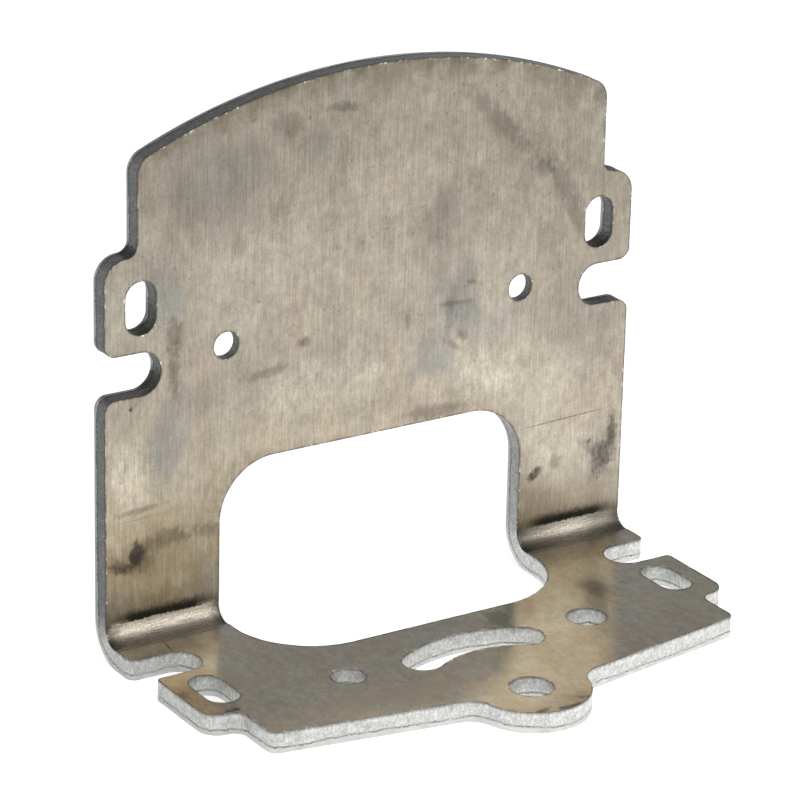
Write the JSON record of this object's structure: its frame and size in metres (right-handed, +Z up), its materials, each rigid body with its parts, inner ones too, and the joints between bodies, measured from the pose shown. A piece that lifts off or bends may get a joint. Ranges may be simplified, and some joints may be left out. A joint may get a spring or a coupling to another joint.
{
  "type": "stamped metal bracket",
  "caption": "Right-angle bracket stamped and folded from sheet steel, with a crowned upright, a window through the bend, slots, notches and a lobed foot with a pivot hole and curved guide slot.",
  "frame": {"origin": "under the middle of the bracket, at the height of the foot's underside", "axes": "+Z up along the upright, +X along the bend, +Y towards the outside face of the upright; the foot reaches towards -Y"},
  "size_m": [0.092, 0.0556, 0.0853],
  "materials": {
    "steel": "bare rolled steel sheet with a fine upright grain, bright sheared edges and light handling marks"
  },
  "bodies": {
    "root": {"bracket": "steel"}
  },
  "joints": []
}
